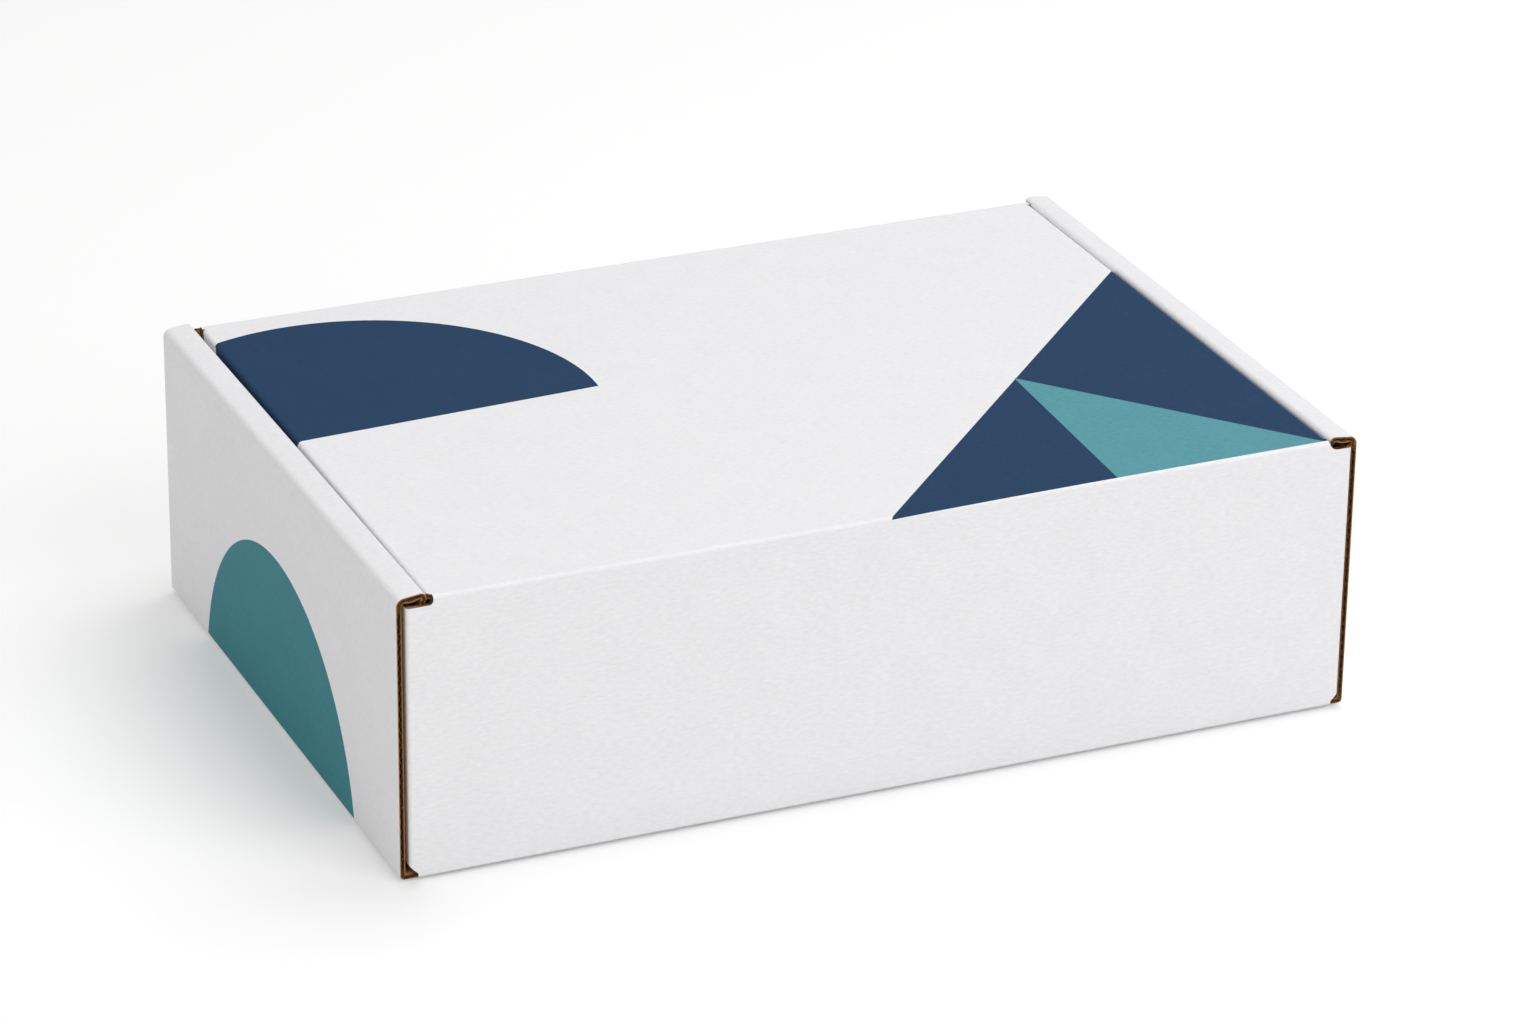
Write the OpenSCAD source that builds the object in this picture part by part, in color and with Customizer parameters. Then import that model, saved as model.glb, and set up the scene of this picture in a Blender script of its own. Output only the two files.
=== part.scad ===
// Corrugated mailer box: one folded sheet with rolled double ends and a hinged tuck lid.
// Origin at the middle of the underside, X along the hinge, hinge wall at -Y, Z up, millimetres.

/* [Box] */
// Outside length, along the hinge
box_l = 310; // [240:5:400]
// Outside depth, from the hinge wall to the tuck wall
box_d = 215; // [160:5:280]
// Outside height
box_h = 90; // [70:5:140]

/* [Board] */
// Thickness of the corrugated board
board_t = 1.6; // [1.3:0.1:2.2]
// Thickness of each paper liner
liner_t = 0.3; // [0.2:0.05:0.4]
// Thickness of the wavy layer between the liners
web_t = 0.2; // [0.1:0.05:0.25]
// Distance from one flute to the next
flute_pitch = 3.3; // [2.8:0.1:4.5]
// How deep the open flutes go in the long cut edges
flute_depth = 2.5; // [1:0.5:6]
// Outside radius of a crease
crease_r = 1.2; // [0.6:0.1:1.5]

/* [Rolled ends] */
// Free room inside a roll, between the corner flaps and the inner panel
roll_room = 3.7; // [2:0.1:5]
// Outside radius of the crease between an end panel and its top
roll_r = 2.6; // [1.7:0.1:3.4]
// How much higher the top of a roll stands at its lip than at the end panel
roll_rise = 1.2; // [0:0.1:2]
// Outside radius of the crease between that top and the lip
lip_r = 1.7; // [1.6:0.1:2]
// How far the lip of a roll runs down beside the hinge
lip_h = 2.7; // [2.6:0.1:5]
// How far the free edges of a roll stand back from the long walls
end_set = 1; // [0:0.1:2]
// Opening between the crushed layers in the top of a roll
crush_gap = 0.45; // [0.2:0.05:0.6]
// Length of each locking tab
tab_l = 36; // [20:1:44]
// Distance between the middles of the two locking tabs
tab_span = 110; // [70:5:130]
// Play round a locking tab in its slot
tab_gap = 0.25; // [0.15:0.05:0.4]

/* [Walls] */
// Mean gap between an end panel and the corner flaps beside it
flap_gap = 0.8; // [0.6:0.1:2]
// How far the long walls sit off the middle, towards the right end
wall_shift = 0.4; // [0:0.1:0.5]
// Gap between an inner end panel and the long walls, and above the front wall
wall_gap = 0.5; // [0.3:0.1:1]
// Height left free under the lip in the notches beside the hinge
notch_clear = 1.3; // [0.8:0.1:2.5]
// Radius of the inner corner of the right notch
notch_r = 3; // [1.5:0.1:3.5]
// Radius of the inner corner of the left notch
bite_r = 1.4; // [1:0.1:2]
// How far the left notch bites in below the side of the lid
notch_bite = 1.2; // [0:0.1:1.8]
// Size of the slanted cut where a wall meets the bottom
corner_cut = 2.5; // [1.5:0.1:5]
// Length of a corner flap from the face of its wall
corner_flap_l = 62; // [40:1:75]
// Radius of the loose corners of the flaps
flap_round = 8; // [4:1:14]
// Slant of the loose edges of the flaps, in degrees
flap_slant = 4; // [1:0.5:6]

/* [Lid] */
// Gap between the lid and a roll at the hinge
hinge_gap = 0.5; // [0.3:0.1:1.2]
// Gap between the lid and the left roll at the tuck edge
left_gap = 2.4; // [0.5:0.1:4]
// Gap between the lid and the right roll at the tuck edge
right_gap = 0.5; // [0.5:0.1:4]
// Gap between the tuck flap and its wall
tuck_gap = 0.4; // [0.3:0.1:1]
// Height of the tuck flap
tuck_h = 42; // [25:1:55]
// Height of the two dust flaps
dust_h = 46; // [25:1:55]
// Slant of the near and far edges of the dust flaps, in degrees
dust_slant = 14; // [10:1:25]

/* [Print] */
// Radius of the lid disc
disc_r = 73.5; // [40:0.5:80]
// Middle of the lid disc, measured from the left end
disc_x = 37.4; // [20:0.2:80]
// Middle of the lid disc, measured from the hinge wall
disc_y = 128.5; // [90:0.5:150]
// Where the straight edge of the lid disc starts on the left, from the hinge wall
chord_y = 116.5; // [90:0.5:130]
// Slope of that straight edge, in degrees
chord_slope = 3.3; // [0:0.1:8]
// Radius of the end disc
end_disc_r = 69; // [40:0.5:75]
// Middle of the end disc below the bottom edge
end_disc_drop = 12.2; // [0:0.1:40]
// Middle of the end disc, measured from the middle of the panel towards the front wall
end_disc_y = 1.4; // [-20:0.1:20]
// Length of the triangle field along the hinge
triangle_l = 156; // [80:1:160]
// Depth of the triangle field along the right crease
triangle_d = 158.5; // [80:0.5:180]
// Turn of the triangle field's near edge away from the hinge, in degrees
print_skew = 0.6; // [0:0.1:2]
// Place of the inner triangle's tip along the long side of the triangle field
tip_share = 0.504; // [0.4:0.001:0.6]
// Length of the inner triangle along the hinge
inner_triangle_l = 81; // [40:1:100]

/* [Hidden] */

white_liner = "#EDEDEF";
navy_ink = "#2F4868";
teal_ink = "#5A9CA5";

arc_steps = 8;
crease_mid = 135;                           // bearing of the middle of the lid crease from its centre
over = board_t;                             // cutters run past what they cut
lap = board_t / 4;                          // plates of one sheet run into each other
web_swing = (board_t - 2 * liner_t - web_t) / 2; // the wavy layer swings this far to each side
half_l = box_l / 2;
half_d = box_d / 2;
fold_s = max(crease_r, board_t);            // what a crease takes from each panel
roll_w = 3 * board_t + flap_gap + roll_room;
side_x = half_l - board_t - flap_gap;       // outer faces of the corner flaps, before the shift
trough_x = side_x - corner_cut;             // where the long bottom creases end
lip_x = half_l - roll_w;                    // inner faces of the rolls
lip_z = box_h + roll_rise - lip_h;
end_reach = half_d - end_set;
notch_z = lip_z - notch_clear;
roll_under = board_t + crush_gap;           // the inner liner bows down under the flat top
front_top = box_h - board_t;
hinge_x = lip_x - hinge_gap;                // half the length of the hinge
bite_x = -hinge_x + notch_bite;
lid_far = half_d - board_t - tuck_gap;      // tuck crease
lid_reach = lid_far + half_d;               // from the hinge line to the tuck crease
tuck_lean = asin(tuck_h / lid_reach) / 2 + 1; // keeps the loose edge inside the closing arc
left_lean = atan((left_gap - hinge_gap) / lid_reach);
right_lean = atan((right_gap - hinge_gap) / lid_reach);
dust_near = -half_d + 2 * board_t;
dust_far = lid_far - 2 * board_t;

function roll_top(x) = box_h + roll_rise * (half_l - x) / roll_w;
function unit(v) = v / norm(v);
function inward(a, p, b) = unit(unit(a - p) + unit(b - p));
function half_angle(a, p, b) = acos(unit(a - p) * unit(b - p)) / 2;
function around(c, r, a0, a1, n = arc_steps) =
    [for (i = [0:n]) c + r * [cos(a0 + (a1 - a0) * i / n), sin(a0 + (a1 - a0) * i / n)]];
function bearing(v) = atan2(v.y, v.x);
function short_turn(a) = (a + 540) % 360 - 180;

// Arc that rounds the corner p of the path a, p, b
function rounded(a, p, b, r) =
    let (h = half_angle(a, p, b),
         c = p + inward(a, p, b) * r / sin(h),
         s = p + unit(a - p) * r / tan(h) - c,
         e = p + unit(b - p) * r / tan(h) - c)
    r <= 0 ? [p] : around(c, r, bearing(s), bearing(s) + short_turn(bearing(e) - bearing(s)));

// Path shifted by t towards the inside of its bends
function shifted(path, t) =
    let (last = len(path) - 1,
         d0 = unit(path[1] - path[0]),
         d1 = unit(path[last] - path[last - 1]),
         b0 = inward(path[0], path[1], path[2]),
         b1 = inward(path[last - 2], path[last - 1], path[last]),
         n0 = [-d0.y, d0.x] * sign([-d0.y, d0.x] * b0),
         n1 = [-d1.y, d1.x] * sign([-d1.y, d1.x] * b1))
    [for (i = [0:last])
        i == 0 ? path[0] + n0 * t :
        i == last ? path[last] + n1 * t :
        path[i] + inward(path[i - 1], path[i], path[i + 1])
                * t / sin(half_angle(path[i - 1], path[i], path[i + 1]))];

// Path with its corners rounded, radii r[0], r[1] and so on
function bent(path, r) =
    [for (i = [0:len(path) - 1])
        for (p = (i == 0 || i == len(path) - 1) ? [path[i]] :
            rounded(path[i - 1], path[i], path[i + 1], r[i - 1])) p];

function backwards(list) = [for (i = [len(list) - 1:-1:0]) list[i]];

// Section of a folded strip of board, its outer face along the path
function strip(path, r, t = board_t) =
    concat(bent(path, r), backwards(bent(shifted(path, t), [for (x = r) max(0, x - t)])));

// Flap outline: root from y0 to y1 at z0 and z1, loose edge rounded
function flap_outline(root_a, tip_a, tip_b, root_b, r) =
    concat([root_a], rounded(root_a, tip_a, tip_b, r), rounded(tip_a, tip_b, root_b, r), [root_b]);

// Room beside the wavy layer under one liner, the liner's outer side on the X axis
module flute_room() {
    half_w = 0.36 * flute_pitch;
    polygon(concat([[-half_w, liner_t]],
        [for (k = [-1:0.5:1])
            [k * half_w, (board_t - web_t) / 2 + web_swing * cos(360 * k * half_w / flute_pitch)]],
        [[half_w, liner_t]]));
}

// The same room with straight sides, for the many flutes of a long cut edge
module plain_flute_room() {
    half_w = 0.4 * flute_pitch;
    peak = (board_t - web_t) / 2 + web_swing;
    polygon([[-half_w, liner_t], [-half_w / 4, peak], [half_w / 4, peak], [half_w, liner_t]]);
}

// Flutes along +X, those of the outer side and those of the inner side by turns
module flute_row(length) {
    count = floor(length / flute_pitch);
    start = (length - count * flute_pitch) / 2;
    for (i = [0:count - 1]) {
        translate([start + (i + 0.25) * flute_pitch, 0]) children();
        translate([start + (i + 0.75) * flute_pitch, board_t]) mirror([0, 1]) children();
    }
}

// Section in Y and Z, run along X
module along_x(x0, x1) {
    translate([x0, 0, 0]) rotate([90, 0, 90]) linear_extrude(x1 - x0) children();
}

// Section in X and Z, run along Y
module along_y(y0, y1) {
    translate([0, y1, 0]) rotate([90, 0, 0]) linear_extrude(y1 - y0) children();
}

// Section in X and Y, run along Z
module along_z(z0, z1) {
    translate([0, 0, z0]) linear_extrude(z1 - z0) children();
}

module both_ends() {
    children();
    mirror([1, 0, 0]) children();
}

// Base panel with the two long bottom creases
module base_panel() {
    leg = fold_s + lap;
    difference() {
        union() {
            translate([wall_shift, 0, 0]) along_x(-trough_x, trough_x)
                polygon(strip([[-half_d, leg], [-half_d, 0], [half_d, 0], [half_d, leg]],
                              [crease_r, crease_r]));
            along_z(0, board_t)
                square([2 * (trough_x + lap), box_d - 2 * fold_s], center = true);
        }
        both_ends() tab_slots();
    }
}

module tab_slots() {
    for (side = [-1, 1])
        translate([lip_x - tab_gap, side * tab_span / 2 - tab_l / 2 - tab_gap, -over])
            cube([board_t + 2 * tab_gap, tab_l + 2 * tab_gap, board_t + 2 * over]);
}

// Open lens between the outer layers and the bowed inner liner in the top of a roll
module crush_lens() {
    u0 = half_l - board_t;
    u1 = lip_x + board_t;
    down = 2.2 * liner_t;
    quarter = (u0 - u1) / 8;
    sag = board_t + crush_gap - liner_t - down;
    polygon(concat([[u0, roll_top(u0) - down - liner_t / 2], [u0 - quarter, roll_top(u0 - quarter) - down],
                    [u1 + quarter, roll_top(u1 + quarter) - down], [u1, roll_top(u1) - down - liner_t / 2]],
        [for (i = [1:2 * arc_steps - 1])
            let (k = i / (2 * arc_steps), u = u1 + (u0 - u1) * k)
            [u, roll_top(u) - down - sag * sin(180 * k)]]));
}

// Bowed inner liner under the top of a roll
module bowed_liner() {
    u0 = half_l - board_t - roll_r / 4;
    u1 = lip_x + board_t + lip_r / 4;
    down = board_t - liner_t;
    polygon(concat([[u0, roll_top(u0) - down], [u1, roll_top(u1) - down]],
        [for (i = [0:2 * arc_steps])
            let (k = i / (2 * arc_steps), u = u1 + (u0 - u1) * k)
            [u, roll_top(u) - board_t - crush_gap * sin(180 * k)]]));
}

// Outer end panel, top and lip of one roll, in one strip from the base
module roll_outer() {
    top_path = [[trough_x - wall_shift, 0], [half_l, 0], [half_l, box_h], [lip_x, box_h + roll_rise],
                [lip_x, lip_z]];
    along_y(-end_reach, end_reach) difference() {
        union() {
            polygon(strip(top_path, [crease_r, roll_r, lip_r]));
            bowed_liner();
        }
        crush_lens();
        translate([half_l, 2 * fold_s]) rotate(90)
            flute_row(box_h - roll_r - 3 * fold_s) flute_room();
    }
}

// Inner end panel with its two locking tabs
module roll_inner() {
    foot_z = board_t + tab_gap;
    reach = half_d - board_t - wall_gap;
    along_x(lip_x, lip_x + board_t) {
        translate([-reach, foot_z]) square([2 * reach, lip_z + lap - foot_z]);
        for (side = [-1, 1])
            translate([side * tab_span / 2 - tab_l / 2, tab_gap]) square([tab_l, foot_z + lap]);
    }
}

// One corner flap, root at the wall y = -half_d, top at z_top
module corner_flap(z_top) {
    y0 = -half_d + fold_s;
    y1 = -half_d + corner_flap_l;
    rise = (y1 - y0) * tan(flap_slant);
    z0 = fold_s + corner_cut;
    along_x(side_x - board_t, side_x)
        polygon(flap_outline([y0 - lap, z0], [y1, z0 + rise], [y1, z_top - rise], [y0 - lap, z_top],
                             flap_round));
}

// A long wall at y = -half_d with its corner creases and flaps, top at z_top
module long_wall(z_top) {
    rise = corner_cut + over;
    difference() {
        along_z(fold_s, z_top)
            polygon(strip([[-side_x, -half_d + fold_s], [-side_x, -half_d], [side_x, -half_d],
                           [side_x, -half_d + fold_s]], [crease_r, crease_r]));
        both_ends() along_y(-half_d - over, -half_d + fold_s + over)
            polygon([[trough_x, 0], [side_x + over, 0], [side_x + over, fold_s + rise],
                     [trough_x, fold_s]]);
    }
    both_ends() corner_flap(z_top);
}

// Upper part of the hinge wall, between the notches, mitred in the middle of the lid crease
module hinge_strip() {
    root_z = notch_z - lap;
    crease_c = [-half_d + crease_r, box_h - crease_r];
    intersection() {
        along_x(-half_l, half_l)
            polygon(concat([[-half_d, root_z]], around(crease_c, crease_r, 180, crease_mid),
                           [[-half_d + board_t, box_h - board_t], [-half_d + board_t, root_z]]));
        along_y(-half_d - over, -half_d + board_t + over)
            polygon(concat([[hinge_x + notch_r, root_z]],
                           around([hinge_x + notch_r, notch_z + notch_r], notch_r, 270, 180),
                           [[hinge_x, box_h + over], [bite_x, box_h + over]],
                           around([bite_x - bite_r, notch_z + bite_r], bite_r, 0, -90),
                           [[bite_x - bite_r, root_z]]));
    }
}

// Front wall: its top steps down under the two rolls
module front_wall() {
    under_roll = box_h - roll_under - wall_gap;
    step_x = lip_x - wall_gap;
    translate([wall_shift, 0, 0]) rotate([0, 0, 180]) long_wall(under_roll);
    rotate([0, 0, 180]) difference() {
        translate([-step_x, -half_d, under_roll - lap])
            cube([2 * step_x, board_t, front_top - under_roll + lap]);
        translate([-step_x, -half_d]) along_z(front_top - flute_depth, front_top + over)
            flute_row(2 * step_x) plain_flute_room();
    }
}

module tray_board() {
    base_panel();
    translate([wall_shift, 0, 0]) long_wall(notch_z);
    hinge_strip();
    front_wall();
    both_ends() {
        roll_outer();
        roll_inner();
    }
}

// Disc field on the left end panel, only as deep as the liner
module end_disc() {
    along_x(-half_l - over, -half_l + liner_t)
        intersection() {
            translate([end_disc_y, -end_disc_drop]) circle(r = end_disc_r, $fn = 96);
            translate([-half_d, crease_r]) square([box_d, box_h / 2 + end_disc_r]);
        }
}

module tray() {
    color(white_liner) difference() {
        tray_board();
        end_disc();
    }
    color(teal_ink) intersection() {
        tray_board();
        end_disc();
    }
}

// Half width of the lid at a place along Y, on the left or the right side
function lid_left(y) = -hinge_x + (y + half_d) * tan(left_lean);
function lid_right(y) = hinge_x - (y + half_d) * tan(right_lean);

// Lid panel and tuck flap in one strip from the hinge
module lid_strip() {
    crease_c = [-half_d + crease_r, box_h - crease_r];
    tip = [lid_far - tuck_h * sin(tuck_lean), box_h - tuck_h * cos(tuck_lean)];
    path = [[-half_d, box_h], [lid_far, box_h], tip];
    outer = bent(path, [crease_r]);
    inner = bent(shifted(path, board_t), [max(0, crease_r - board_t)]);
    last = len(outer) - 1;
    along_x(-half_l, half_l)
        polygon(concat(around(crease_c, crease_r, crease_mid, 90), [for (i = [1:last]) outer[i]],
                       backwards([for (i = [1:len(inner) - 1]) inner[i]]),
                       [[-half_d + board_t, box_h - board_t]]));
}

// Plan of the lid, set back along the dust flap creases
module lid_plan() {
    set_back = fold_s - liner_t;
    corner_y = -half_d + crease_r + notch_bite;
    polygon([[bite_x, -half_d - over], [hinge_x, -half_d - over],
             [lid_right(dust_near), dust_near], [lid_right(dust_near) - set_back, dust_near],
             [lid_right(dust_far) - set_back, dust_far], [lid_right(dust_far), dust_far],
             [lid_right(lid_far), lid_far + over], [lid_left(lid_far), lid_far + over],
             [lid_left(dust_far), dust_far], [lid_left(dust_far) + set_back, dust_far],
             [lid_left(dust_near) + set_back, dust_near], [lid_left(dust_near), dust_near],
             [lid_left(corner_y), corner_y], [bite_x, -half_d + crease_r]]);
}

// Front view of the lid: full width above, the tapered tuck flap below
module tuck_outline() {
    z0 = box_h - board_t - crease_r;
    z1 = box_h - tuck_h;
    slide = (z0 - z1) * tan(flap_slant);
    a = lid_left(lid_far);
    b = lid_right(lid_far);
    polygon(concat([[a, z0]], rounded([a, z0], [a + slide, z1 - over], [b - slide, z1 - over], flap_round),
                   rounded([a + slide, z1 - over], [b - slide, z1 - over], [b, z0], flap_round),
                   [[b, z0], [half_l, z0], [half_l, box_h + over], [-half_l, box_h + over], [-half_l, z0]]));
}

// A dust flap with its crease, along the left side of the lid
module dust_flap(lean) {
    leg = fold_s + over;
    length = lid_reach;
    z0 = box_h - dust_h;
    near_slide = dust_h * tan(dust_slant);
    far_slide = dust_h * tan(dust_slant + tuck_lean);
    intersection() {
        translate([-hinge_x, -half_d, 0]) rotate([0, 0, -lean]) along_y(0, length)
            polygon(strip([[leg, box_h], [0, box_h], [0, z0]], [crease_r]));
        along_x(-half_l, half_l)
            polygon(flap_outline([dust_near - over * tan(dust_slant), box_h + over],
                                 [dust_near + near_slide, z0], [dust_far - far_slide, z0],
                                 [dust_far + over * tan(dust_slant + tuck_lean), box_h + over],
                                 flap_round));
    }
}

// Open flutes in the loose edge of the tuck flap, between its rounded corners
module tuck_flutes() {
    inset = tuck_h * tan(flap_slant) + flap_round;
    a = lid_left(lid_far) + inset;
    b = lid_right(lid_far) - inset;
    translate([a, lid_far - tuck_h * sin(tuck_lean), box_h - tuck_h * cos(tuck_lean)])
        rotate([-tuck_lean, 0, 0]) mirror([0, 1, 0])
            along_z(-over, flute_depth) flute_row(b - a) plain_flute_room();
}

module lid_board() {
    difference() {
        intersection() {
            lid_strip();
            along_z(0, box_h + over) lid_plan();
            along_y(-half_d - over, half_d + over) tuck_outline();
        }
        tuck_flutes();
    }
    dust_flap(left_lean);
    mirror([1, 0, 0]) dust_flap(right_lean);
}

// Navy fields of the lid: the cut disc on the left and the triangle on the right
module navy_fields() {
    flap_field();
    chord_end = box_l * tan(chord_slope);
    along_z(box_h - liner_t, box_h + over) {
        intersection() {
            translate([disc_x - half_l, disc_y - half_d]) circle(r = disc_r, $fn = 96);
            polygon([[-half_l, chord_y - half_d], [half_l, chord_y - half_d + chord_end],
                     [half_l, half_d], [-half_l, half_d]]);
        }
        difference() {
            triangle_field();
            inner_triangle();
        }
    }
}

// The lid disc runs straight down the outer liner of the left dust flap
module flap_field() {
    crease_x = half_l - hinge_x;
    near_y = chord_y + crease_x * tan(chord_slope);
    far_y = disc_y + sqrt(max(0, disc_r * disc_r - pow(disc_x - crease_x, 2)));
    path = [[fold_s, box_h], [0, box_h], [0, 0]];
    translate([-hinge_x, -half_d, 0]) rotate([0, 0, -left_lean]) along_y(near_y, far_y)
        difference() {
            translate([-over, 0]) square([over + fold_s, box_h + over]);
            polygon(concat(bent(shifted(path, liner_t), [crease_r - liner_t]), [[fold_s, 0]]));
        }
}

module triangle_field() {
    polygon([[half_l - triangle_l, -half_d], [half_l, -half_d + triangle_l * tan(print_skew)],
             [half_l, -half_d + triangle_d]]);
}

module inner_triangle() {
    near = [half_l - triangle_l, -half_d];
    far = [half_l, -half_d + triangle_d];
    tip = near + (far - near) * tip_share;
    intersection() {
        triangle_field();
        polygon([[half_l - inner_triangle_l, -half_d], [hinge_x, -half_d], tip]);
    }
}

module lid() {
    color(white_liner) difference() {
        lid_board();
        navy_fields();
        along_z(box_h - liner_t, box_h + over) inner_triangle();
    }
    color(navy_ink) intersection() {
        lid_board();
        navy_fields();
    }
    color(teal_ink) intersection() {
        lid_board();
        along_z(box_h - liner_t, box_h + over) inner_triangle();
    }
}

tray();
lid();
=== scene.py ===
import math
import bpy
import bmesh
from mathutils import Matrix, Vector
from mathutils.bvhtree import BVHTree


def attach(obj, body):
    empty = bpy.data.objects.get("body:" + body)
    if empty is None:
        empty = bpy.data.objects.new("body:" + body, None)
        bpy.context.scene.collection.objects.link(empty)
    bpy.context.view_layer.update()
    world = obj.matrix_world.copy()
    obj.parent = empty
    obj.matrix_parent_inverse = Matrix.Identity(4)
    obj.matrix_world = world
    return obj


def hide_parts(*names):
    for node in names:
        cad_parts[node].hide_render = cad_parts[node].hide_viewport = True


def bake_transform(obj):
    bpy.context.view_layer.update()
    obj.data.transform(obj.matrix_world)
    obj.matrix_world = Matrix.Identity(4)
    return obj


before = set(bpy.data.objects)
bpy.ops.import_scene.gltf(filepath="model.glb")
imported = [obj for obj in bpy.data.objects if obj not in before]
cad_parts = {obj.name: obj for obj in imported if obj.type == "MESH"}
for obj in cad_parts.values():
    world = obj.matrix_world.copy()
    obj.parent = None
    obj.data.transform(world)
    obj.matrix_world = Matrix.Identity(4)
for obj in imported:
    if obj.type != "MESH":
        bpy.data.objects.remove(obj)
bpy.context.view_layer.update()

mm = 0.001

# The folded board, in millimetres; edges that turn by more than "sharp" degrees are shaded as sharp
board = {"halfDepth": 107.5, "height": 90, "thick": 1.6, "liner": 0.3, "sharp": 32}


def linearColour(hexCode):  # sRGB hex to the linear values that shaders take
    channels = [int(hexCode[i:i + 2], 16) / 255 for i in (1, 3, 5)]
    return [c / 12.92 if c <= 0.04045 else ((c + 0.055) / 1.055) ** 2.4 for c in channels] + [1]


def addNode(owner, kind, settings=None, inputs=None, links=None):
    # owner is a material or the world; links: input name or number -> (node, output name or number)
    tree = owner.node_tree
    node = tree.nodes.new(kind)
    for name, value in (settings or {}).items():
        setattr(node, name, value)
    for name, value in (inputs or {}).items():
        node.inputs[name].default_value = value
    for name, (source, output) in (links or {}).items():
        tree.links.new(source.outputs[output], node.inputs[name])
    return node


def newMaterial(name):
    material = bpy.data.materials.new(name)
    material.use_nodes = True
    material.node_tree.nodes.clear()
    return material


def closeMaterial(material, shader):
    output = addNode(material, "ShaderNodeOutputMaterial")
    material.node_tree.links.new(shader.outputs[0], output.inputs["Surface"])
    return material


# Camera, fitted to the long edges and corners of the box in the photograph: metres, degrees, lens in mm
camera = {"place": (-0.6618, -1.5260, 0.8095), "azimuth": 23.66, "elevation": 24.657, "roll": 0.744,
          "lens": 137.42, "sensor": 36}

print("camera")
cameraData = bpy.data.cameras.new("camera")
cameraData.lens = camera["lens"]
cameraData.sensor_width = camera["sensor"]
cameraData.sensor_fit = "HORIZONTAL"
cameraObject = bpy.data.objects.new("camera", cameraData)
bpy.context.scene.collection.objects.link(cameraObject)
cameraObject.matrix_world = (Matrix.Translation(camera["place"])
                             @ Matrix.Rotation(-math.radians(camera["azimuth"]), 4, "Z")
                             @ Matrix.Rotation(math.radians(90 - camera["elevation"]), 4, "X")
                             @ Matrix.Rotation(math.radians(camera["roll"]), 4, "Z"))
bpy.context.scene.camera = cameraObject


# Offset-printed fields, in millimetres of the frame. Each side is (a, b, c, least): ax + by + cz > least
printFields = {
    "lidDisc": {"ink": "navy", "disc": {"middle": (-117.6, 21, 0), "plane": (1, 1, 0), "radius": 73.5},
                "sides": [(0, 0, 1, 88.9), (-0.0576, 0.9983, 0, 17.25)]},
    "flapBand": {"ink": "navy",
                 "sides": [(-1, 0, 0, 143.1), (0, 0, -1, -88.9), (0, 1, 0, 9.6), (0, -1, 0, -89.1)]},
    "outerTriangle": {"ink": "navy", "sides": [(0, 0, 1, 88.4), (-0.0105, 0.9999, 0, -107.42),
                                               (0.7127, -0.7015, 0, 75.0)]},
    "innerTriangle": {"ink": "teal", "sides": [(0, 0, 1, 88.4), (-0.0105, 0.9999, 0, -107.42),
                                               (0.999, -0.0453, 0, 78.6), (-0.7635, -0.6458, 0, -41.43)]},
    "endDisc": {"ink": "deepTeal", "disc": {"middle": (0, 1.4, -13), "plane": (0, 1, 1), "radius": 69.5},
                "sides": [(-1, 0, 0, 154.6)]},
}

# White-top kraft liner, clay coated and offset printed: dead matt, with short faint streaks and soft clouds.
# Sizes and heights in millimetres
liner = {"inks": {"white": ("#F5F5F7", "#E4E4E6"), "navy": ("#22446A", "#143450"),
                  "teal": ("#5FA4AF", "#4E8C97"), "deepTeal": ("#3C8C94", "#2A757D")},
         "roughness": 0.6, "gloss": 0.15, "streakLong": 2.4, "streakWide": 0.8, "cloudSize": 14,
         "cloudShare": 0.15, "mottleRange": (0.26, 0.74), "fibreSize": 0.45, "fibreHeight": 0.05,
         "fibreStrength": 0.45, "waveSize": 55, "waveHeight": 0.25}


def fieldMask(material, place, field):  # 1 inside the printed field, 0 outside
    mask = None
    for a, b, c, least in field["sides"]:
        reach = addNode(material, "ShaderNodeVectorMath", {"operation": "DOT_PRODUCT"}, {1: (a, b, c)},
                        {0: (place, 0)})
        inside = addNode(material, "ShaderNodeMath", {"operation": "GREATER_THAN"}, {1: least},
                         {0: (reach, "Value")})
        mask = inside if mask is None else addNode(material, "ShaderNodeMath", {"operation": "MULTIPLY"},
                                                   links={0: (mask, 0), 1: (inside, 0)})
    if "disc" in field:
        disc = field["disc"]
        flat = addNode(material, "ShaderNodeVectorMath", {"operation": "MULTIPLY_ADD"},
                       {1: disc["plane"], 2: [-m for m in disc["middle"]]}, {0: (place, 0)})
        away = addNode(material, "ShaderNodeVectorMath", {"operation": "LENGTH"}, links={0: (flat, 0)})
        inside = addNode(material, "ShaderNodeMath", {"operation": "LESS_THAN"}, {1: disc["radius"]},
                         {0: (away, "Value")})
        mask = addNode(material, "ShaderNodeMath", {"operation": "MULTIPLY"},
                       links={0: (mask, 0), 1: (inside, 0)})
    return mask


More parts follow.
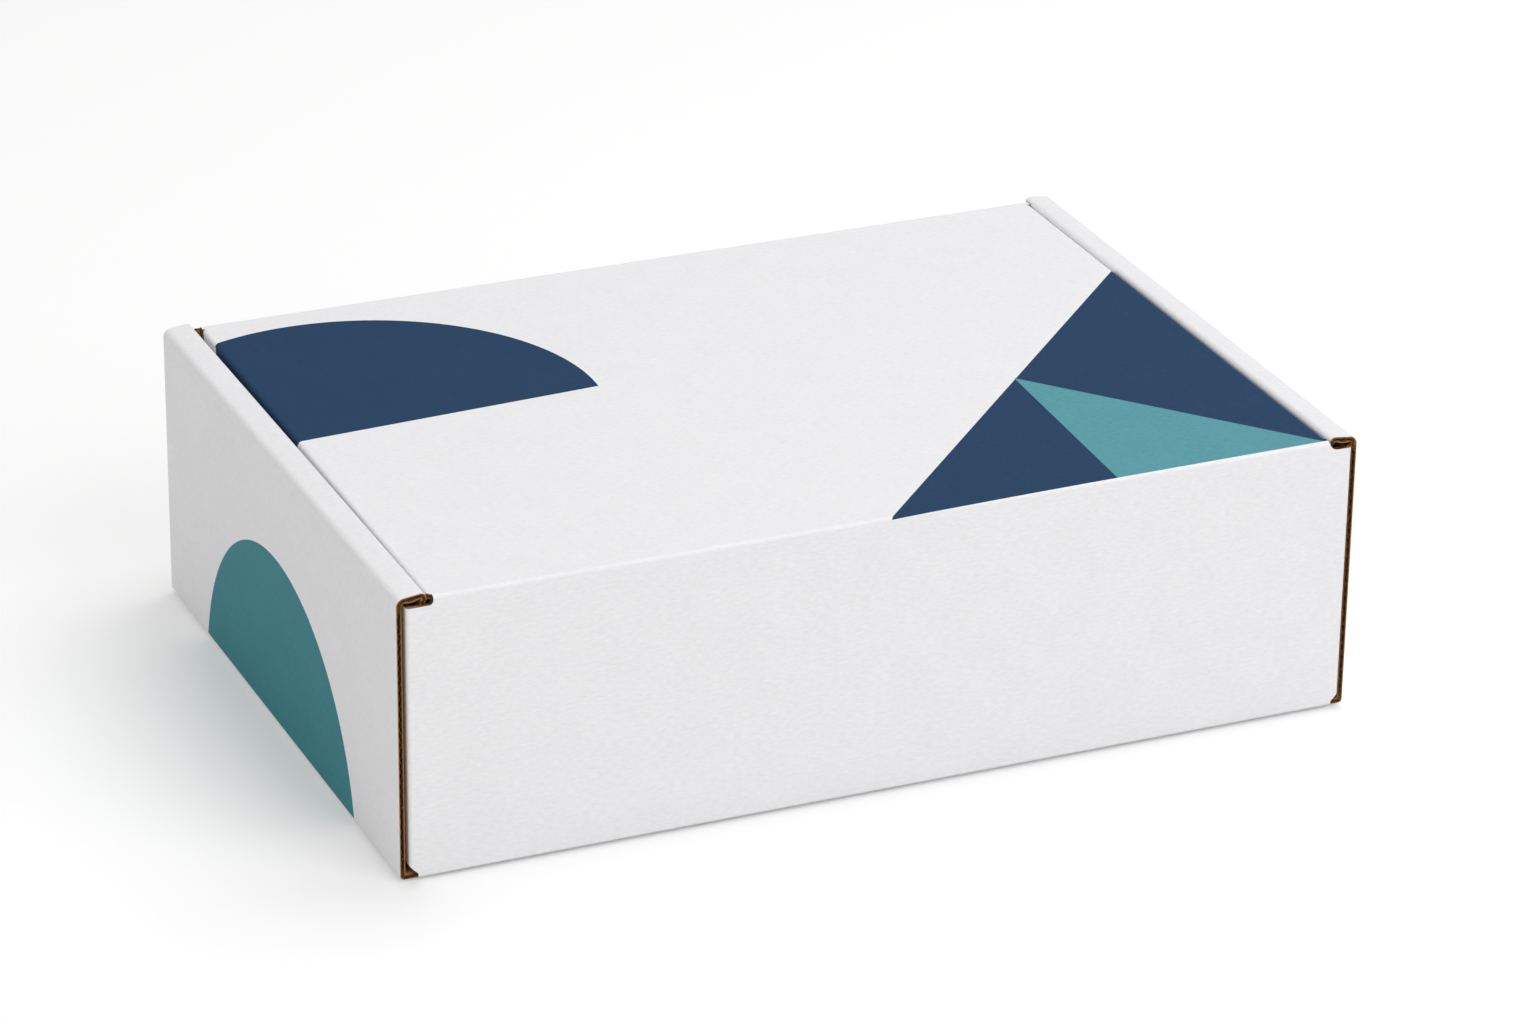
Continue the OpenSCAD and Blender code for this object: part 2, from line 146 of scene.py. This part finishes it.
def linerMaterial(name, fieldNames):
    material = newMaterial(name)
    coordinates = addNode(material, "ShaderNodeTexCoord")
    place = addNode(material, "ShaderNodeVectorMath", {"operation": "SCALE"}, {"Scale": 1 / mm},
                    {0: (coordinates, "Object")})
    sheet = addNode(material, "ShaderNodeUVMap", {"uv_map": "sheet"})
    stretched = addNode(material, "ShaderNodeVectorMath", {"operation": "MULTIPLY"},
                        {1: (1 / liner["streakLong"], 1 / liner["streakWide"], 1)}, {0: (sheet, 0)})
    streak = addNode(material, "ShaderNodeTexNoise", inputs={"Scale": 1, "Detail": 5, "Roughness": 0.72},
                     links={"Vector": (stretched, 0)})
    cloud = addNode(material, "ShaderNodeTexNoise", inputs={"Scale": 1 / liner["cloudSize"], "Detail": 2},
                    links={"Vector": (sheet, 0)})
    blend = addNode(material, "ShaderNodeMix", inputs={0: liner["cloudShare"]},
                    links={2: (streak, "Fac"), 3: (cloud, "Fac")})
    low, high = liner["mottleRange"]
    mottle = addNode(material, "ShaderNodeMapRange", inputs={1: low, 2: high, 3: 0, 4: 1},
                     links={0: (blend, 0)})
    fibre = addNode(material, "ShaderNodeTexNoise", inputs={"Scale": 1 / liner["fibreSize"], "Detail": 2},
                    links={"Vector": (place, 0)})
    colour = None
    for ink in ["white"] + fieldNames:
        light, dark = liner["inks"]["white" if ink == "white" else printFields[ink]["ink"]]
        tone = addNode(material, "ShaderNodeMix", {"data_type": "RGBA"},
                       {6: linearColour(dark), 7: linearColour(light)}, {0: (mottle, 0)})
        if colour is None:
            colour = tone
        else:
            colour = addNode(material, "ShaderNodeMix", {"data_type": "RGBA"},
                             links={0: (fieldMask(material, place, printFields[ink]), 0), 6: (colour, 2),
                                    7: (tone, 2)})
    wave = addNode(material, "ShaderNodeTexNoise", inputs={"Scale": 1 / liner["waveSize"], "Detail": 1},
                   links={"Vector": (place, 0)})
    swell = addNode(material, "ShaderNodeBump", inputs={"Distance": liner["waveHeight"] * mm},
                    links={"Height": (wave, "Fac")})
    bump = addNode(material, "ShaderNodeBump",
                   inputs={"Strength": liner["fibreStrength"], "Distance": liner["fibreHeight"] * mm},
                   links={"Height": (fibre, "Fac"), "Normal": (swell, 0)})
    shader = addNode(material, "ShaderNodeBsdfPrincipled",
                     inputs={"Roughness": liner["roughness"], "Specular IOR Level": liner["gloss"]},
                     links={"Base Color": (colour, 2), "Normal": (bump, 0)})
    return closeMaterial(material, shader)


# Unbleached kraft liner inside: warm brown, long fibres, no coating. Fibres in millimetres
kraft = {"light": "#B98D5E", "dark": "#9C7246", "roughness": 0.85, "gloss": 0.1, "fibreLong": 6,
         "fibreWide": 0.5, "fibreHeight": 0.1, "fibreStrength": 0.4}


def kraftMaterial():
    material = newMaterial("unbleachedKraftLiner")
    coordinates = addNode(material, "ShaderNodeTexCoord")
    along, across = 1 / kraft["fibreLong"] / mm, 1 / kraft["fibreWide"] / mm
    stretched = addNode(material, "ShaderNodeVectorMath", {"operation": "MULTIPLY"},
                        {1: (along, across, across)}, {0: (coordinates, "Object")})
    fibre = addNode(material, "ShaderNodeTexNoise", inputs={"Scale": 1, "Detail": 5, "Roughness": 0.7},
                    links={"Vector": (stretched, 0)})
    colour = addNode(material, "ShaderNodeMix", {"data_type": "RGBA"},
                     {6: linearColour(kraft["dark"]), 7: linearColour(kraft["light"])}, {0: (fibre, "Fac")})
    bump = addNode(material, "ShaderNodeBump",
                   inputs={"Strength": kraft["fibreStrength"], "Distance": kraft["fibreHeight"] * mm},
                   links={"Height": (fibre, "Fac")})
    shader = addNode(material, "ShaderNodeBsdfPrincipled",
                     inputs={"Roughness": kraft["roughness"], "Specular IOR Level": kraft["gloss"]},
                     links={"Base Color": (colour, 2), "Normal": (bump, 0)})
    return closeMaterial(material, shader)


# Die-cut edge of the board: tan liner edges and, between them, the hollow fluting, where the flutes' shade
# is painted dark brown over the medium's own brown, with torn tan specks. In millimetres; "fade" is where
# tan turns to the painted shade, measured from the liner's inner side
cutEdge = {"liner": "#96714A", "fluteShade": "#4E3319", "speck": "#8A663E", "roughness": 0.9, "gloss": 0.05,
           "fade": (0.05, -0.1), "speckSize": 0.7, "speckRange": (0.58, 0.68), "tearHeight": 0.2,
           "tearStrength": 0.6}


def cutEdgeMaterial():
    material = newMaterial("dieCutFlutedEdge")
    coordinates = addNode(material, "ShaderNodeTexCoord")
    depth = addNode(material, "ShaderNodeAttribute", {"attribute_name": "depth"})
    # depth is in millimetres below the printed face; fluteShade is 0 at either liner and 1 in the fluting
    #     # between, where the flutes' shade is painted dark
    middle = addNode(material, "ShaderNodeMath", {"operation": "SUBTRACT"}, {1: board["thick"] / 2},
                     {0: (depth, "Fac")})
    offMiddle = addNode(material, "ShaderNodeMath", {"operation": "ABSOLUTE"}, links={0: (middle, 0)})
    rough = addNode(material, "ShaderNodeTexNoise",
                    inputs={"Scale": 1 / cutEdge["speckSize"] / mm, "Detail": 3},
                    links={"Vector": (coordinates, "Object")})
    start, end = [board["thick"] / 2 - board["liner"] + f for f in cutEdge["fade"]]
    fluteShade = addNode(material, "ShaderNodeMapRange", inputs={1: start, 2: end, 3: 0, 4: 1},
                   links={0: (offMiddle, 0)})
    low, high = cutEdge["speckRange"]
    speck = addNode(material, "ShaderNodeMapRange", inputs={1: low, 2: high, 3: 0, 4: 1},
                    links={0: (rough, "Fac")})
    # the hollow flutes' painted shade, broken by tan specks of torn medium
    inner = addNode(material, "ShaderNodeMix", {"data_type": "RGBA"},
                    {6: linearColour(cutEdge["fluteShade"]), 7: linearColour(cutEdge["speck"])}, {0: (speck, 0)})
    colour = addNode(material, "ShaderNodeMix", {"data_type": "RGBA"}, {6: linearColour(cutEdge["liner"])},
                     {0: (fluteShade, 0), 7: (inner, 2)})
    bump = addNode(material, "ShaderNodeBump",
                   inputs={"Strength": cutEdge["tearStrength"], "Distance": cutEdge["tearHeight"] * mm},
                   links={"Height": (rough, "Fac")})
    shader = addNode(material, "ShaderNodeBsdfPrincipled",
                     inputs={"Roughness": cutEdge["roughness"], "Specular IOR Level": cutEdge["gloss"]},
                     links={"Base Color": (colour, 2), "Normal": (bump, 0)})
    return closeMaterial(material, shader)


print("materials")
trayLiner = linerMaterial("clayCoatedLinerTray", ["endDisc"])
lidLiner = linerMaterial("clayCoatedLinerLid", ["lidDisc", "flapBand", "outerTriangle", "innerTriangle"])
kraftLiner = kraftMaterial()
flutedEdge = cutEdgeMaterial()

# Where the folded tray's printed side lies, in millimetres, for x and y taken positive. A plane is (point,
# normal) and a crease (axis, centre, radius). The kraft side is one board thickness behind each plane
trayFaces = {
    "planes": {"outerPanel": ((155, 0, 0), (1, 0, 0)), "rollTop": ((155, 0, 90), (0.128, 0, 0.9918)),
               "innerPanel": ((145.7, 0, 0), (-1, 0, 0)), "rightFlaps": ((153, 0, 0), (1, 0, 0)),
               "leftFlaps": ((152.2, 0, 0), (1, 0, 0)), "longWalls": ((0, 107.5, 0), (0, 1, 0)),
               "underside": ((0, 0, 0), (0, 0, -1))},
    "creases": {"panelFoot": ("y", (153.8, 1.2), 1.2), "rollShoulder": ("y", (152.4, 87.71), 2.6),
                "rollLip": ("y", (147.4, 89.27), 1.7), "wallFoot": ("x", (106.3, 1.2), 1.2),
                "wallTop": ("x", (106.3, 88.8), 1.2), "rightCorners": ("z", (151.8, 106.3), 1.2),
                "leftCorners": ("z", (151, 106.3), 1.2)},
    "crushed": {"from": 147, "low": 87.4, "high": 90, "slope": -0.8},  # liner bowed down inside a roll
}
# The closed lid, in millimetres; its dust flaps hang beyond x = "dustFrom" from y = "dustNear" to "dustFar"
lidFaces = {"top": 89.9, "under": (88.2, 88.6), "dustFrom": 141, "dustNear": -104, "dustFar": 102,
            "tuckFold": (0, 105.5, 90), "tuckLean": 6.68, "tuckCrease": ("x", (104.3, 88.8), 1.2),
            "creaseFoot": 88.7, "creaseUp": 0.15, "creaseTilt": 0.05}
nearly = 0.08  # millimetres between a face and its sheet
flatCosine = 0.99  # least cosine between the normals of a face and its sheet
bentCosine = 0.9  # the same on a crease, and on the tuck flap beside one


def onPlane(point, normal, plane, behind=0, leastCosine=flatCosine):
    start, direction = Vector(plane[0]), Vector(plane[1])
    return normal.dot(direction) > leastCosine and abs((point - start).dot(direction) + behind) < nearly


def onCrease(point, normal, crease):
    axis, centre, radius = crease
    a, b = {"x": (1, 2), "y": (0, 2), "z": (0, 1)}[axis]
    away = Vector((point[a] - centre[0], point[b] - centre[1]))
    facing = Vector((normal[a], normal[b])).dot(away.normalized())
    return abs(away.length - radius) < nearly and facing > bentCosine


def trayFinish(point, normal):  # 0 printed liner, 1 kraft liner, 2 cut edge
    signs = Vector((math.copysign(1, point.x), math.copysign(1, point.y), 1))
    p = Vector([s * v for s, v in zip(signs, point)])
    n = Vector([s * v for s, v in zip(signs, normal)])
    if any(onPlane(p, n, plane) for plane in trayFaces["planes"].values()):
        return 0
    if any(onCrease(p, n, crease) for crease in trayFaces["creases"].values()):
        return 0
    if any(onPlane(p, -n, plane, board["thick"]) for plane in trayFaces["planes"].values()):
        return 1
    crushed = trayFaces["crushed"]
    below = n.z < crushed["slope"] and p.x > crushed["from"]
    return 1 if below and crushed["low"] < p.z < crushed["high"] else 2


def lidFinish(point, normal):  # 0 printed liner, 1 kraft liner, 2 cut edge
    lean = math.radians(lidFaces["tuckLean"])
    tuckFlap = (lidFaces["tuckFold"], (0, math.cos(lean), -math.sin(lean)))
    if normal.z > flatCosine and point.z > lidFaces["top"]:
        return 0
    if onPlane(point, normal, tuckFlap, 0, bentCosine) or onCrease(point, normal, lidFaces["tuckCrease"]):
        return 0
    sloping = abs(normal.x) > lidFaces["creaseTilt"] or normal.y < -lidFaces["creaseTilt"]
    if sloping and normal.z > lidFaces["creaseUp"] and point.z > lidFaces["creaseFoot"]:
        return 0  # creases above the dust flaps and at the hinge
    if onPlane(point, -normal, tuckFlap, board["thick"], bentCosine):
        return 1
    onDustFlap = abs(point.x) > lidFaces["dustFrom"] and lidFaces["dustNear"] < point.y < lidFaces["dustFar"]
    if onDustFlap and abs(normal.x) > flatCosine:
        return 0 if normal.x * point.x > 0 else 1
    low, high = lidFaces["under"]
    return 1 if normal.z < -flatCosine and low < point.z < high else 2


weld = 0.01  # millimetres between vertices that are merged
acrossBox = 0.7  # a face whose normal is this far along X lies in an end panel, corner flap or dust flap


def sheetCopy(nodeName, finish, printed):
    # merged copy of a CAD node, with a finish for each face
    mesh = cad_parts[nodeName].data.copy()
    mesh.name = nodeName + "Board"
    mesh.materials.clear()
    for material in (printed, kraftLiner, flutedEdge):
        mesh.materials.append(material)
    shape = bmesh.new()
    shape.from_mesh(mesh)
    bmesh.ops.remove_doubles(shape, verts=shape.verts, dist=weld * mm)
    shape.normal_update()
    for face in shape.faces:
        face.material_index = finish(face.calc_center_median() / mm, face.normal)
        face.smooth = True
    return mesh, shape


def finishSheet(mesh, shape):
    # lays the liner's pattern on the flat sheet, in millimetres, and gives cut edges their depth
    shape.normal_update()
    sheet = shape.loops.layers.uv.new("sheet")
    for face in shape.faces:
        for loop in face.loops:
            x, y, z = loop.vert.co / mm
            loop[sheet].uv = (z, y) if abs(face.normal.x) > acrossBox else (x, y + z)
    printedSide = [[v.index for v in f.verts] for f in shape.faces if f.material_index == 0]
    tree = BVHTree.FromPolygons([v.co.copy() for v in shape.verts], printedSide)
    depths = [min(tree.find_nearest(v.co)[3] / mm, board["thick"]) for v in shape.verts]
    shape.to_mesh(mesh)
    shape.free()
    attribute = mesh.attributes.new("depth", "FLOAT", "POINT")
    attribute.data.foreach_set("value", depths)
    mesh.set_sharp_from_angle(angle=math.radians(board["sharp"]))


def placePiece(name, mesh):
    piece = bpy.data.objects.new(name, mesh)
    bpy.context.scene.collection.objects.link(piece)
    weighted = piece.modifiers.new("flatFaces", "WEIGHTED_NORMAL")
    weighted.keep_sharp = True
    return piece


print("board")
trayMesh, trayShape = sheetCopy("tray", trayFinish, trayLiner)
lidMesh, lidShape = sheetCopy("lid", lidFinish, lidLiner)

# The board bends at the hinge, so a piece of both copies, full thickness, is taken out there into a piece of
# its own.
# In millimetres: "wall" is z on the hinge wall; "lid", "kraftSide" and "rollEnds" are y. "mitreTilt" is how
# far the normal of a face on the mitre may be off 45 degrees
hingeCut = {"wall": 87.6, "lid": -105, "kraftSide": -105.85, "rollEnds": -106.5, "mitreTilt": 0.02,
            "weld": 0.06, "bend": 0.64}
creaseMesh = bpy.data.meshes.new("hingeCrease")
for material in (lidLiner, kraftLiner, flutedEdge):
    creaseMesh.materials.append(material)
creaseShape = bmesh.new()


def inHingeWall(face):  # the wall's own faces, without the ends of the rolls beside it
    ys = [v.co.y / mm for v in face.verts]
    return max(ys) < hingeCut["kraftSide"] and min(abs(y - hingeCut["rollEnds"]) for y in ys) > weld


def takeCrease(shape, faces, place, direction):
    verts = dict.fromkeys(v for f in faces for v in f.verts)
    edges = dict.fromkeys(e for f in faces for e in f.edges)
    bmesh.ops.bisect_plane(shape, geom=[*verts, *edges, *faces], plane_co=place, plane_no=direction)
    shape.normal_update()
    copies = {}
    taken = [f for f in shape.faces if (f.calc_center_median() - place).dot(direction) > 0
             and (shape is lidShape or inHingeWall(f))]
    for face in taken:
        if max(abs(face.normal.y - face.normal.z), abs(face.normal.x)) < hingeCut["mitreTilt"]:
            continue  # the mitre between the two
        for v in face.verts:
            if v not in copies:
                copies[v] = creaseShape.verts.new(v.co)
        new = creaseShape.faces.new([copies[v] for v in face.verts])
        new.material_index = face.material_index
        new.smooth = True
    bmesh.ops.delete(shape, geom=taken, context="FACES")


takeCrease(trayShape, [f for f in trayShape.faces if inHingeWall(f)], Vector((0, 0, hingeCut["wall"])) * mm,
           Vector((0, 0, 1)))
takeCrease(lidShape, lidShape.faces[:], Vector((0, hingeCut["lid"], 0)) * mm, Vector((0, -1, 0)))
mitreSum = (board["height"] - board["halfDepth"]) * mm  # y + z all over the mitre
mitre = [v for v in creaseShape.verts if abs(v.co.y + v.co.z - mitreSum) < nearly * mm]
bmesh.ops.remove_doubles(creaseShape, verts=mitre, dist=hingeCut["weld"] * mm)
for name, mesh, shape in (("tray", trayMesh, trayShape), ("lid", lidMesh, lidShape),
                          ("hinge", creaseMesh, creaseShape)):
    areas = [sum(f.calc_area() for f in shape.faces if f.material_index == i) / mm ** 2 for i in (0, 1, 2)]
    print(name, "printed, kraft and cut areas in mm2", [round(area) for area in areas])
    finishSheet(mesh, shape)

trayPiece = placePiece("trayBoard", trayMesh)
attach(trayPiece, "tray")
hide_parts("tray")
lidPiece = placePiece("lidBoard", lidMesh)
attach(lidPiece, "lid")
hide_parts("lid")
creasePiece = placePiece("hingeCrease", creaseMesh)
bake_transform(creasePiece)

# Pale paper sweep, "size" metres each way; the camera sees it lifted to white, with the shadow kept.
# It lies "gap" millimetres below the base, which draws the dark line under the box's edges
stage = {"colour": "#F1F1F1", "lift": 0.165, "size": 6, "gap": 1.1}
# Level sets the light on a face at the origin turned to the lamp, whatever its distance. Spread is the angle
# that the lamp fills from there, azimuth is where it stands, clockwise from +Y. Angles in degrees, distances
# in metres. A far softbox lights evenly, a near one falls off
lamps = {"sky": 0.43, "spread": 42,
         "boxes": {"keySoftbox": {"level": 0.98, "azimuth": 63, "elevation": 67, "distance": 1.9,
                                  "tint": (1, 1, 1)},
                   "frontSoftbox": {"level": 0.82, "azimuth": 162, "elevation": 40, "distance": 1.8,
                                    "tint": (1, 1, 1)},
                   "leftSoftbox": {"level": 0.56, "azimuth": 232, "elevation": 36, "distance": 6,
                                   "tint": (1, 0.98, 0.955)}}}

print("stage")
floorMaterial = newMaterial("paperSweep")
rays = addNode(floorMaterial, "ShaderNodeLightPath")
seen = addNode(floorMaterial, "ShaderNodeMath", {"operation": "ADD", "use_clamp": True},
               links={0: (rays, "Is Camera Ray"), 1: (rays, "Is Glossy Ray")})
lift = addNode(floorMaterial, "ShaderNodeMath", {"operation": "MULTIPLY"}, {1: stage["lift"]},
               {0: (seen, 0)})
glow = addNode(floorMaterial, "ShaderNodeEmission", inputs={"Color": (1, 1, 1, 1)},
               links={"Strength": (lift, 0)})
paper = addNode(floorMaterial, "ShaderNodeBsdfDiffuse", inputs={"Color": linearColour(stage["colour"])})
sweep = addNode(floorMaterial, "ShaderNodeAddShader", links={0: (paper, 0), 1: (glow, 0)})
closeMaterial(floorMaterial, sweep)
floorMesh = bpy.data.meshes.new("floor")
floorShape = bmesh.new()
bmesh.ops.create_grid(floorShape, x_segments=1, y_segments=1, size=stage["size"])
bmesh.ops.translate(floorShape, vec=(0, 0, -stage["gap"] * mm), verts=floorShape.verts)
floorShape.to_mesh(floorMesh)
floorShape.free()
floorMesh.materials.append(floorMaterial)
floor = bpy.data.objects.new("floor", floorMesh)
bpy.context.scene.collection.objects.link(floor)

for lampName, lamp in lamps["boxes"].items():
    radius = lamp["distance"] * math.tan(math.radians(lamps["spread"] / 2))
    lampData = bpy.data.lights.new(lampName, "AREA")
    lampData.shape = "DISK"
    lampData.color = lamp["tint"]
    lampData.size = 2 * radius
    lampData.energy = lamp["level"] * math.pi * (lamp["distance"] ** 2 + radius ** 2)
    lampObject = bpy.data.objects.new(lampName, lampData)
    bpy.context.scene.collection.objects.link(lampObject)
    lampObject.matrix_world = (Matrix.Rotation(math.radians(180 - lamp["azimuth"]), 4, "Z")
                               @ Matrix.Rotation(math.radians(90 - lamp["elevation"]), 4, "X")
                               @ Matrix.Translation((0, 0, lamp["distance"])))
    lampObject.visible_camera = False

world = bpy.data.worlds.new("whiteRoom")
bpy.context.scene.world = world
world.use_nodes = True
rays = addNode(world, "ShaderNodeLightPath")
level = addNode(world, "ShaderNodeMapRange", inputs={3: lamps["sky"], 4: 1},
                links={0: (rays, "Is Camera Ray")})  # the camera sees the room white
background = world.node_tree.nodes["Background"]
background.inputs["Color"].default_value = (1, 1, 1, 1)
world.node_tree.links.new(level.outputs[0], background.inputs["Strength"])

bpy.context.scene.view_settings.view_transform = "Standard"
